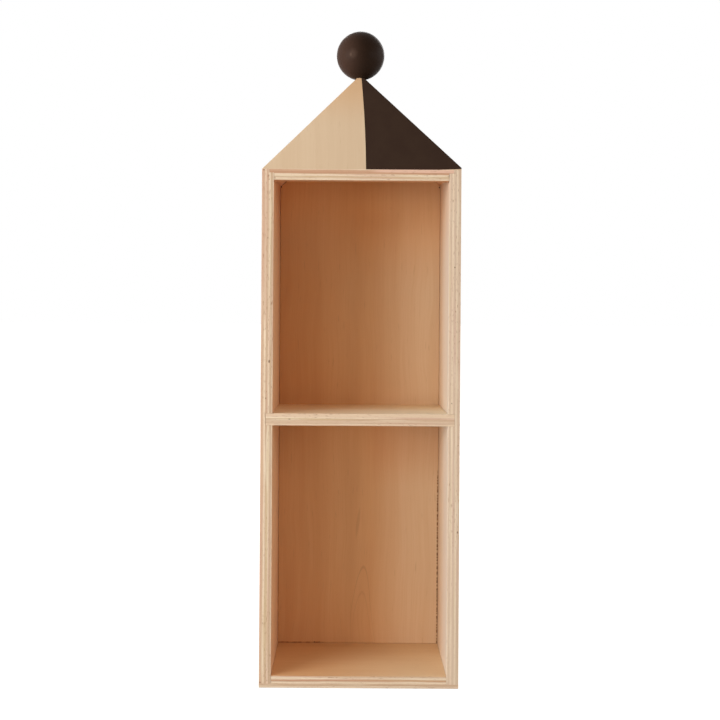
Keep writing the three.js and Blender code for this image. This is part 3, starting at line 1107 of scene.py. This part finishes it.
# Factors for red, green and blue of a patch of painted light and shade, and the soft edges of the patch. An
# edge gives the way in which it is measured, the millimetres where it starts and ends, and the strength of
# the patch at these two.
LIGHT_AND_SHADE_PATCHES = (
    # Painted shade on the left, from the shelf up to where the painted shade at the top takes over.
    ((0.92, 0.84, 0.76), (("z", 255, 285, 0, 1), ("x", -70, 20, 1, 0), ("z", 395, 500, 1, 0))),
    # Painted light in the upper left corner.
    ((1.22, 1.2, 1.1), (("z", 450, 508, 0, 1), ("x", -70, 20, 1, 0))),
    # Painted shade in a band right of the middle, above the shelf.
    ((0.9, 0.86, 0.83), (("beside", 2, 46, 1, 0), ("z", 262, 300, 0, 1), ("z", 472, 500, 1, 0))),
    # Painted shade on the right, below the shelf.
    ((0.98, 0.89, 0.84), (("x", -10, 30, 0, 1), ("z", 176, 232, 0, 1), ("z", 268, 272, 1, 0))),
)
print("patches on the back:", len(LIGHT_AND_SHADE_PATCHES))


def paint_sheet_light_and_shade(recipe, tone, x, z):
    """Paints light and shade onto the tone of the sheet, in patches with soft edges."""
    to_right = recipe.rise(recipe.rise(x, *TOP_SHADE_FROM_LEFT), 0, 1, LEAST_TOP_SHADE, 1)
    tone = recipe.drift(tone, TOP_SHADE, recipe.rise(z, *TOP_SHADE_FROM_BELOW), to_right)
    ways = {"x": x, "z": z, "beside": recipe.apart(x, SHADE_BAND_MIDDLE)}
    for factors, edges in LIGHT_AND_SHADE_PATCHES:
        soft = [recipe.rise(ways[way], start * MM, end * MM, *ends) for way, start, end, *ends in edges]
        tone = recipe.drift(tone, factors, *soft)
    return tone


# %% Back veneer
# Share of the way from left to right, and the tone there, darker with painted shade on the left and paler
# with painted light on the right.
BACK_LIGHT_AND_SHADE_TONES = (
    (0.0, (221, 164, 113)),
    (0.3, (235, 181, 130)),
    (0.58, (225, 173, 124)),
    (0.82, (227, 188, 148)),
    (1.0, (222, 187, 149)),
)
TONES_WIDTH = 160 * MM
DARK_FACTORS = (0.91, 0.83, 0.77)
BACK_FLECK_TONE = colour(168, 124, 90)
BACK_WANDER = 16 * MM

# The arches: height of the point and width of the line in millimetres, and how strongly it shows.
ARCHES = ((96, 3.0, 0.3), (68, 3.2, 0.16))
ARCH_MIDDLE = 14 * MM
ARCH_BEND = 400.0
ARCH_ENDS = (12 * MM, 26 * MM)
ARCH_TONE = colour(160, 112, 76)

# The faint leaning streak: place, height, half width and half length, then its lean and strength.
STREAK = (-17.8 * MM, 145 * MM, 2.2 * MM, 20 * MM)
STREAK_LEAN = -0.12
STREAK_STRENGTH = 0.22
STREAK_TONE = colour(166, 118, 80)


def make_back_veneer(name):
    """The sheet's own veneer: upright grain, two arches, a streak, and painted light and shade over the sheet
    and in its seams.
    """
    recipe = Recipe(name, roughness=0.55, specular=0.06)
    spot = recipe.object_place()
    x, y, z = recipe.parts(spot)
    share = recipe.math("MULTIPLY_ADD", x, 1 / TONES_WIDTH, 0.5)
    light = recipe.ramp(share, [(at, colour(*tone)) for at, tone in BACK_LIGHT_AND_SHADE_TONES])
    dark = recipe.drift(light, DARK_FACTORS, 1.0)
    bent = recipe.math("MULTIPLY_ADD", recipe.noise(spot, (14, 14, 9), detail=2), BACK_WANDER, x)
    layers = (
        Layer("bands", (70, 1, 3.2), 3, 0.55, (0.3, 0.7), (0, 0.48), dark),
        Layer("lines", (800, 1, 11), 3, 0.6, (0.35, 0.8), (0, 0.55), dark),
        Layer("flecks", (560, 1, 48), 1, 0.5, (0.66, 0.8), (0, 0.25), BACK_FLECK_TONE),
    )
    tone, noises = recipe.lay(light, recipe.vector(bent, y, z), layers)
    sideways = recipe.math("SUBTRACT", bent, ARCH_MIDDLE)
    arch = recipe.math("MULTIPLY_ADD", recipe.product(sideways, sideways), ARCH_BEND, z)
    fade = recipe.rise(recipe.math("ABSOLUTE", sideways), *ARCH_ENDS, 1, 0)
    for height, width, strength in ARCHES:
        line = recipe.rise(recipe.apart(arch, height * MM), 0, width * MM, strength, 0)
        tone = recipe.mix(recipe.product(line, fade), tone, ARCH_TONE)
    leaning = recipe.math("MULTIPLY_ADD", z, STREAK_LEAN, x)
    streak = recipe.oval((leaning, z), *STREAK)
    tone = recipe.mix(recipe.product(streak, STREAK_STRENGTH), tone, STREAK_TONE)
    tone = paint_sheet_light_and_shade(recipe, tone, x, z)
    tone = paint_seam_light_and_shade(recipe, tone, spot)
    recipe.relief(noises["lines"], GRAIN_RELIEF)
    return recipe.paint(tone)


BACK_VENEER = make_back_veneer("back_veneer")
print("made", BACK_VENEER.name, "with", len(BACK_LIGHT_AND_SHADE_TONES), "tones from left to right")

# %% Back panel
BACK_GAP = back_low.x + HALF_INSIDE
REBATE = 0.8 * MM
TIGHT = 0.05 * MM


def make_house(name, gap, foot, y_from, y_to):
    """A sheet in the shape of the box's inside, with a gap left along the sides and under the roof."""
    edge = HALF_INSIDE - gap
    below = PLY + 2 * gap
    low_left = slope_height(-1, -edge, below)
    low_right = slope_height(1, edge, below)
    peak = min(slope_height(-1, RIDGE_X, below), slope_height(1, RIDGE_X, below))
    piece = add_block(name, (-edge, y_from, back_low.z + foot), (edge, y_to, low_left))
    edit(piece, "VERT")
    saw((RIDGE_X, 0, 0), (1, 0, 0))
    pick(piece, "VERT", lambda spot, normal: near(spot.z, low_left) and near(spot.x, RIDGE_X))
    bpy.ops.transform.translate(value=(0, 0, peak - low_left))
    pick(piece, "VERT", lambda spot, normal: near(spot.z, low_left) and near(spot.x, edge))
    bpy.ops.transform.translate(value=(0, 0, low_right - low_left))
    leave()
    return piece


def make_back():
    """The sheet: a house that fits closely, with a smaller one in front of it for the rebate."""
    piece = make_house("back_sheet", TIGHT, 0, back_low.y + REBATE, back_high.y)
    front = make_house("front_part", BACK_GAP, BACK_GAP, back_low.y, back_low.y + REBATE)
    combine(piece, front, "UNION")
    add_ruler(piece, lambda p: p.y - back_low.y, lambda p: p.z, lambda p: p.x, seed=BACK)
    finish_faces(piece, BACK_VENEER, PLY_EDGE, lambda normal, middle: normal.y < -FACING)
    add_finish(piece, BIRCH_FACE, lambda normal, middle: normal.y > FACING)
    place(piece, "back_panel")


make_back()

# %% [markdown]
# Dark paint
#
# The right half of the gable is brushed with a dark brown matte paint. Paint hides the colour of the veneer
# but follows its relief, so the finish has the veneer's fine upright lines as relief and only a breath of
# mottling in its colour.

# %% Paint
# Where a coat turns to a lighter tone of painted light on the left, and the tone of a painted highlight.
LIT_LEFT = (-19 * MM, 6 * MM)
HIGHLIGHT_TONE = colour(112, 88, 74)


def make_paint(name, tone, other, roughness, specular, left=None, highlights=()):
    """A dark coat with a breath of mottling.

    Left is a lighter tone of painted light that the coat turns to on the left. A painted highlight is its
    place from left to right, its height, half its width, half its height and how strongly it shows.
    """
    recipe = Recipe(name, roughness=roughness, specular=specular)
    spot = recipe.object_place()
    mottle = recipe.noise(spot, (60, 60, 60), detail=3)
    lines = recipe.noise(spot, (900, 900, 30), detail=2)
    recipe.relief(lines, GRAIN_RELIEF)
    coat = recipe.mix(recipe.rise(mottle, 0.3, 0.7), tone, other)
    x, _, z = recipe.parts(spot)
    # Painted light on the left, then painted highlights.
    if left:
        coat = recipe.mix(recipe.rise(x, *LIT_LEFT, 1, 0), coat, left)
    for *reach, strength in highlights:
        glint = recipe.oval((x, z), *reach)
        coat = recipe.mix(recipe.product(glint, strength), coat, HIGHLIGHT_TONE)
    return recipe.paint(coat)


DARK_PAINT = make_paint("dark_paint", colour(55, 40, 32), colour(58, 43, 34), roughness=0.8, specular=0.04)
print("made", DARK_PAINT.name)

# %% [markdown]
# Gable
#
# The gable is one triangular board with its point planed flat for the ball. The border between bare wood
# and paint starts a little right of the middle and bows slightly on its way to the tip. The board is sawn
# into strips, and in each strip a second cut follows the border, so the finish can change exactly there.
# One more cut leaves a sliver of bare wood under the paint in the lower right corner.

# %% Gable
PAINT_STRIPS = 8
PAINT_BASE = 4.2 * MM
PAINT_TIP = -0.9 * MM
PAINT_BULGE = 1.0 * MM
BARE_FROM = 76 * MM
BARE_RISE = 0.038
ON_TIP = 0.1 * MM


def paint_border(share):
    """Where bare wood and paint meet, at a share of the way from the rail up to the tip."""
    middle = (PAINT_BASE + PAINT_TIP) / 2 + 2 * PAINT_BULGE
    x = (1 - share) ** 2 * PAINT_BASE + 2 * share * (1 - share) * middle + share**2 * PAINT_TIP
    return Vector((x, 0, EAVES + share * (TIP - EAVES)))


def make_gable():
    """The triangle, sawn into strips that end at the border of the paint."""
    piece = add_block("gable", gable_low, gable_high)
    edit(piece, "VERT")
    saw((0, 0, eaves_on(1)), (0, 0, 1))
    pick(piece, "VERT", lambda spot, normal: near(spot.z, eaves_on(1)) and spot.x < 0)
    bpy.ops.transform.translate(value=(0, 0, EAVES - eaves_on(1)))
    merge_corners()
    for side in (-1, 1):
        pick(piece, "VERT", lambda spot, normal: near(spot.z, TIP) and near(spot.x, side * HALF_WIDTH))
        bpy.ops.transform.translate(value=(slope_reach(side, TIP) - side * HALF_WIDTH, 0, 0))
    borders = [paint_border(index / PAINT_STRIPS) for index in range(PAINT_STRIPS + 1)]
    for spot in borders[1:-1]:
        saw(spot, (0, 0, 1))
    for lower, upper in zip(borders, borders[1:]):
        way = (upper - lower).normalized()
        top = upper.z + (ON_TIP if upper is borders[-1] else 0)
        pick(piece, "FACE", lambda middle, normal: lower.z < middle.z < top)
        bpy.ops.mesh.bisect(plane_co=lower, plane_no=(way.z, 0, -way.x))
    saw((BARE_FROM, 0, EAVES), Vector((-BARE_RISE, 0, 1)).normalized())
    merge_corners()
    leave()
    return piece


gable = make_gable()
print("gable faces:", len(gable.data.polygons))

# %% Gable finish
GABLE_EASE = 0.3 * MM
SLOPING = 0.3


def is_painted(middle):
    """Says whether a spot on the front lies right of the border and above the bare sliver."""
    rise = middle.z - EAVES
    share = rise / (TIP - EAVES)
    above_bare = rise > BARE_RISE * (middle.x - BARE_FROM)
    return above_bare and middle.x > paint_border(max(0.0, min(1.0, share))).x


def finish_gable(piece):
    """Gives each face of the gable its finish, and rounds the arrises of its slopes."""
    # The bare face carries painted shade under the ball near the tip.
    for material in (BIRCH_GABLE_PAINTED_SHADE, PLY_EDGE, DARK_PAINT):
        piece.data.materials.append(material)
    for face in piece.data.polygons:
        if is_painted(face.center) and face.normal.z > -FACING:
            face.material_index = 2
        else:
            face.material_index = 0 if abs(face.normal.y) > FACING else 1
    ease(
        piece,
        GABLE_EASE,
        lambda middle, way: abs(way.x) > SLOPING and abs(way.z) > SLOPING and near(middle.y, FRONT),
    )
    add_ruler(piece, lambda p: p.y - FRONT, lambda p: p.z, lambda p: p.x, seed=GABLE)
    place(piece, "gable_board")


finish_gable(gable)

# %% [markdown]
# Roof boards
#
# Two boards lie on the side panels behind the gable and meet at the ridge. Each starts as a block whose
# corners are pulled to the slope. A saw cut at the height of the tip then planes the ridge flat. The paint
# of the gable runs on over the outer face of the right board, and over the joint between the two.

# %% Roof boards
HALF_CUBE = 1 * MM


def make_roof_board(word, side, seed):
    """One roof board. Side is -1 for the left and 1 for the right."""
    node = "roof_board_" + word
    low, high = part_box(node)
    ridge = RIDGE_X + side * GLUE / 2
    outer = side * HALF_WIDTH
    inner = side * HALF_INSIDE
    corners = {
        (True, False): Vector((outer, 0, eaves_on(side) + GLUE)),
        (False, False): Vector((inner, 0, slope_height(side, inner, PLY) + GLUE)),
        (True, True): Vector((ridge, 0, slope_height(side, ridge))),
        (False, True): Vector((ridge, 0, slope_height(side, ridge, PLY))),
    }
    start_low = (-HALF_CUBE, low.y, -HALF_CUBE)
    start_high = (HALF_CUBE, high.y, HALF_CUBE)
    piece = add_block("roof_" + word, start_low, start_high)
    edit(piece, "VERT")
    for (is_outer, is_upper), target in corners.items():
        start_x = side * HALF_CUBE if is_outer else -side * HALF_CUBE
        start_z = HALF_CUBE if is_upper else -HALF_CUBE
        pick(piece, "VERT", lambda spot, normal: near(spot.x, start_x) and near(spot.z, start_z))
        bpy.ops.transform.translate(value=(target.x - start_x, 0, target.z - start_z))
    saw((0, 0, TIP), (0, 0, 1), plane_off=True)
    leave()
    pitch = slope_pitch(side)
    outward = Vector((side * math.sin(pitch), 0, math.cos(pitch)))
    upward = Vector((-side * math.cos(pitch), 0, math.sin(pitch)))
    eaves = Vector((outer, 0, eaves_on(side)))
    add_ruler(
        piece,
        lambda p: (eaves - p).dot(outward),
        lambda p: (p - eaves).dot(upward),
        lambda p: p.y,
        seed,
    )
    face_material = DARK_PAINT if side > 0 else BIRCH_FACE
    finish_faces(piece, face_material, PLY_EDGE, lambda normal, middle: normal.dot(outward) > FACING)
    # The underside is birch in painted shade.
    add_finish(piece, BIRCH_PAINTED_SHADE, lambda normal, middle: normal.dot(outward) < -FACING)
    if side > 0:
        add_finish(piece, DARK_PAINT, lambda normal, middle: normal.y < -FACING or normal.z > FACING)
    place(piece, node)


make_roof_board("left", -1, LEFT_ROOF)
make_roof_board("right", 1, RIGHT_ROOF)

# %% [markdown]
# Ball
#
# The ball is turned wood under a dark brown satin coat, with painted light that makes it lighter on the left
# and a small painted highlight there. A sphere is planed flat where it sits on the tip, and the seat is
# drilled for the steel stud.

# %% Coat of the ball
BALL_RADIUS = (ball_high.x - ball_low.x) / 2
BALL_MIDDLE = (ball_low + ball_high) / 2
BALL_MIDDLE.z = ball_high.z - BALL_RADIUS

# Millimetres from the middle of the ball: place and height, half the width and half the height of a patch of
# the painted highlight. Last comes how strongly it shows.
HIGHLIGHT_PATCHES = (
    (-7.6, -2.6, 5.4, 6.2, 0.1),
    (-8.0, -3.0, 3.2, 4.4, 0.1),
    (-10.0, -3.6, 1.3, 2.1, 0.3),
)
# The ball's coat, lighter on the left with painted light, and with a small painted highlight there.
DARK_STAIN = make_paint(
    "dark_stain",
    colour(37, 25, 17),
    colour(40, 27, 19),
    roughness=0.42,
    specular=0.032,
    left=colour(67, 48, 39),
    highlights=[
        (BALL_MIDDLE.x + x * MM, BALL_MIDDLE.z + z * MM, wide * MM, high * MM, strength)
        for x, z, wide, high, strength in HIGHLIGHT_PATCHES
    ],
)
print("made", DARK_STAIN.name)

# %% Ball
BORE_RADIUS = 2.15 * MM
BORE_DEPTH = 18.3 * MM


def make_ball():
    """A sphere with a flat seat and a bore."""
    bpy.ops.object.select_all(action="DESELECT")
    bpy.ops.mesh.primitive_uv_sphere_add(
        segments=96,
        ring_count=48,
        radius=BALL_RADIUS,
        location=BALL_MIDDLE,
    )
    piece = settle("ball")
    edit(piece)
    saw((0, 0, ball_low.z), (0, 0, -1), plane_off=True)
    pick(piece, "FACE", lambda middle, normal: near(middle.z, ball_low.z))
    seat_radius = math.sqrt(BALL_RADIUS**2 - (BALL_MIDDLE.z - ball_low.z) ** 2)
    bpy.ops.mesh.inset(thickness=seat_radius - BORE_RADIUS)
    bpy.ops.mesh.extrude_region_move(TRANSFORM_OT_translate={"value": (0, 0, BORE_DEPTH)})
    leave()
    only_finish(piece, DARK_STAIN)
    place(piece, "finial_ball")


make_ball()

# %% [markdown]
# Steel
#
# The keyhole plates, their screws and the stud in the ball are zinc-plated steel. The stud is hidden inside
# the wood, so it keeps its measured solid and only gets the metal.

# %% Zinc
ZINC_DARK, ZINC_LIGHT = colour(170, 172, 175), colour(184, 186, 187)
ZINC_ROUGHNESS = (0.28, 0.42)
ZINC_RELIEF = 0.01 * MM


def make_steel(name):
    """Zinc-plated steel, with clouds in its gloss and a fine brushing."""
    recipe = Recipe(name, roughness=0.34)
    recipe.shader.inputs["Metallic"].default_value = 1.0
    spot = recipe.object_place()
    cloud = recipe.noise(spot, (220, 220, 220), detail=3)
    brushed = recipe.noise(spot, (2600, 2600, 90), detail=2)
    recipe.feed(recipe.shader.inputs["Roughness"], recipe.rise(cloud, 0.3, 0.7, *ZINC_ROUGHNESS))
    recipe.relief(brushed, ZINC_RELIEF)
    return recipe.paint(recipe.mix(recipe.rise(cloud, 0.3, 0.7), ZINC_DARK, ZINC_LIGHT))


STEEL = make_steel("zinc_plate")
for material_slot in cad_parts["finial_stud"].material_slots:
    material_slot.material = STEEL
print("the stud keeps its shape and gets", STEEL.name)

# %% [markdown]
# Keyhole plates
#
# The shelf hangs on two plates let flush into the rear edges of the side panels. A wall screw's head goes in
# through the round hole, and its shank slides up the slot. A plate is punched from sheet steel, so it starts
# as the same round-ended bar that cut its recess. Its rim is eased first, while the bar has no other edges,
# and then the slot, the round hole and two countersinks are cut. The second plate is a copy.

# %% Cone along Y
CONE_SIDES = 32


def add_cone(name, x, z, y_from, y_to, radius_from, radius_to):
    """A cone or a rod that lies from front to back, for a countersink or a screw."""
    bpy.ops.object.select_all(action="DESELECT")
    bpy.ops.mesh.primitive_cone_add(
        vertices=CONE_SIDES,
        radius1=radius_from,
        radius2=radius_to,
        depth=y_to - y_from,
        location=(x, (y_from + y_to) / 2, z),
        rotation=(math.radians(-90), 0, 0),
    )
    return settle(name)


def add_copy(piece, name, shift):
    """A second piece like the first, with its own mesh, so far to the side and up."""
    only(piece)
    bpy.ops.object.duplicate()
    bpy.ops.transform.translate(value=shift)
    return settle(name)


# %% Keyhole plates
ENTRY_WIDTH = 8 * MM
SLOT_WIDTH = 4.6 * MM
SLOT_RISE = 10 * MM
SINK_DEPTH = 1.7 * MM
SINK_NARROW, SINK_WIDE = 1.65 * MM, 3.05 * MM
OVERRUN = 0.1 * MM
PLATE_EASE = 0.2 * MM
plate_low, plate_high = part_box("hanger_left")
plate_middle = (plate_low + plate_high) / 2
plate_size = plate_high - plate_low
screw_boxes = {
    (word, end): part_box("hanger_screw_" + word + "_" + end)
    for word in ("left", "right")
    for end in ("lower", "upper")
}


def middle_of(box):
    """The middle of a box that is given by its two corners."""
    return (box[0] + box[1]) / 2


def make_plate(name):
    """The left keyhole plate, in its place."""
    piece = add_slot(name, plate_middle, plate_size.x, plate_size.z, plate_low.y, plate_high.y)
    ease(piece, PLATE_EASE, lambda middle, way: near(middle.y, REAR), steps=2)
    through = (plate_low.y - OVERRUN, plate_high.y + OVERRUN)
    slot = add_slot("keyway", plate_middle, SLOT_WIDTH, SLOT_RISE + SLOT_WIDTH, *through)
    combine(piece, slot, "DIFFERENCE")
    entry_middle = plate_middle - Vector((0, 0, SLOT_RISE / 2))
    entry = add_slot("entry", entry_middle, ENTRY_WIDTH, ENTRY_WIDTH, *through)
    combine(piece, entry, "DIFFERENCE")
    for end in ("lower", "upper"):
        spot = middle_of(screw_boxes["left", end])
        top = REAR + OVERRUN
        sink = add_cone("sink", spot.x, spot.z, top - SINK_DEPTH, top, SINK_NARROW, SINK_WIDE)
        combine(piece, sink, "DIFFERENCE")
    only_finish(piece, STEEL)
    return piece


plate = make_plate("plate_left")
other_plate = add_copy(plate, "plate_right", middle_of(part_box("hanger_right")) - plate_middle)
place(plate, "hanger_left")
place(other_plate, "hanger_right")

# %% [markdown]
# Screws
#
# Four small countersunk screws hold the plates. A screw starts as a rod. It is sawn where the head and the
# point begin, and the rings at its two ends are scaled to the head and to the point. Two crossed blocks cut
# the recess for the driver. The thread is inside the wood, so it is left out.

# %% Screws
HEAD_HEIGHT = 1.3 * MM
POINT_LENGTH = 3 * MM
SHANK_RADIUS = 1.5 * MM
POINT_RADIUS = 0.4 * MM
CROSS_LENGTH, CROSS_WIDTH, CROSS_DEPTH = 3.0 * MM, 0.7 * MM, 0.9 * MM


def make_screw(name, box):
    """A countersunk screw that fills its measured box."""
    low, high = box
    spot = middle_of(box)
    head_radius = (high.x - low.x) / 2
    piece = add_cone(name, spot.x, spot.z, low.y, high.y, SHANK_RADIUS, SHANK_RADIUS)
    edit(piece, "VERT")
    saw((0, high.y - HEAD_HEIGHT, 0), (0, 1, 0))
    saw((0, low.y + POINT_LENGTH, 0), (0, 1, 0))
    for y, radius in ((high.y, head_radius), (low.y, POINT_RADIUS)):
        pick(piece, "VERT", lambda corner, normal: near(corner.y, y))
        grow = radius / SHANK_RADIUS
        bpy.ops.transform.resize(value=(grow, 1, grow), center_override=(spot.x, y, spot.z))
    leave()
    for long_x, long_z in ((CROSS_LENGTH, CROSS_WIDTH), (CROSS_WIDTH, CROSS_LENGTH)):
        reach = Vector((long_x / 2, 0, long_z / 2))
        low_corner = Vector((spot.x, high.y - CROSS_DEPTH, spot.z)) - reach
        high_corner = Vector((spot.x, high.y + OVERRUN, spot.z)) + reach
        combine(piece, add_block("cross", low_corner, high_corner), "DIFFERENCE")
    only_finish(piece, STEEL)
    return piece


first_box = screw_boxes["left", "lower"]
first_screw = make_screw("screw_left_lower", first_box)
screws = {("left", "lower"): first_screw}
for key, box in screw_boxes.items():
    if key not in screws:
        screws[key] = add_copy(first_screw, "screw_" + "_".join(key), middle_of(box) - middle_of(first_box))
for (word, end), piece in screws.items():
    place(piece, "hanger_screw_" + word + "_" + end)
